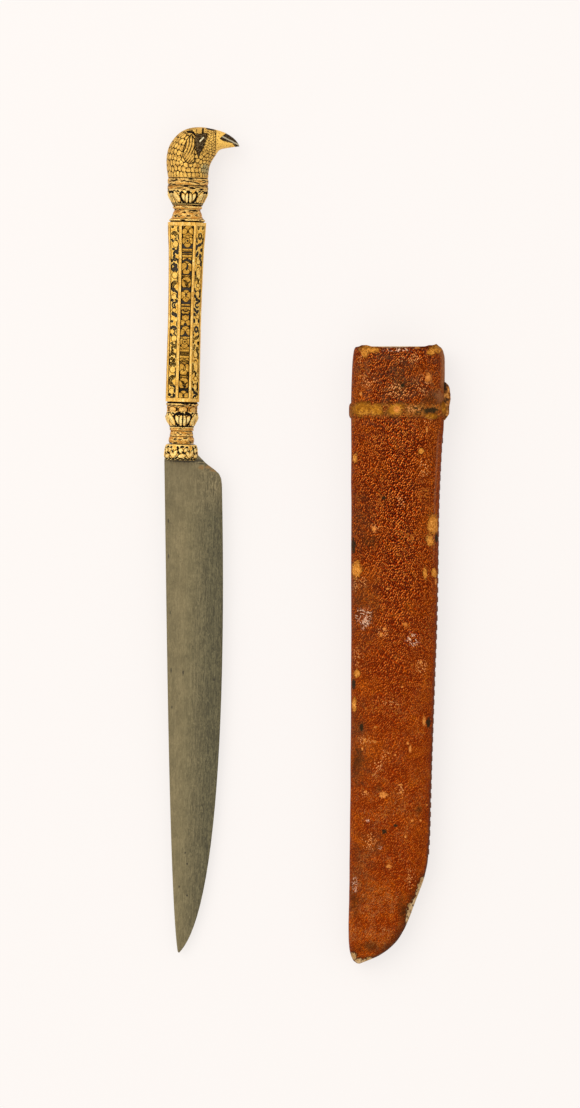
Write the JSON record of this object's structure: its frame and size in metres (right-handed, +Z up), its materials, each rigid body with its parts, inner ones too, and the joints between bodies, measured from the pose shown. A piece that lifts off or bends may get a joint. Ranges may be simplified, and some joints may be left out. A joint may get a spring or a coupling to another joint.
{
  "type": "knife with sheath",
  "caption": "Straight single-edged knife with a gilt bird-headed handle, drawn from its deep grained leather sheath and laid beside it.",
  "frame": {"origin": "centre of the bounding box of the knife and its sheath, at the level of the table", "axes": "+X from the knife across to the sheath, +Y along both towards the bird's head and the sheath's mouth, +Z up from the table"},
  "size_m": [0.1043, 0.3043, 0.0189],
  "materials": {
    "watered_steel": "olive-grey watered steel, lightly polished, pitted",
    "gilt": "worn gilt metal with chased and blackened ornament",
    "black_ground": "black composition, matt, behind the gilt relief",
    "dark_inlay": "dark inlay, satin",
    "bright_inlay": "bright polished slip",
    "lac": "dark resin, matt",
    "core_wood": "pale soft wood, bare",
    "shagreen": "reddish brown grained leather, worn through in places",
    "collar_leather": "tan leather strip",
    "lining": "thin dark red lining",
    "thread": "waxed brown thread",
    "strap_leather": "torn tan leather"
  },
  "bodies": {
    "sheath": {"sheath_leather": "shagreen", "sheath_throat_front": "core_wood", "sheath_throat_back": "core_wood", "sheath_blade_bed": "core_wood", "sheath_bed_lid": "core_wood", "sheath_collar_ring": "collar_leather", "socket_lining": "lining", "seam_stitches": "thread", "strap_stub": "strap_leather"},
    "knife": {"blade": "watered_steel", "bolster": "gilt", "lower_neck_ring": "gilt", "lower_lotus_collar": "gilt", "lower_grip_band": "gilt", "grip_sleeve": "gilt", "grip_panel_grounds": "black_ground", "upper_grip_band": "gilt", "upper_neck_ring": "gilt", "upper_lotus_collar": "gilt", "pommel_ring": "gilt", "bird_head": "gilt", "eye_inlays": "dark_inlay", "eye_slits": "bright_inlay", "beak_tip": "dark_inlay", "lac_filling": "lac"}
  },
  "joints": [
    {"name": "knife_draw", "type": "slide", "parent": "sheath", "child": "knife", "axis": [0, 1, 0], "range_m": [0, 0.221]}
  ]
}
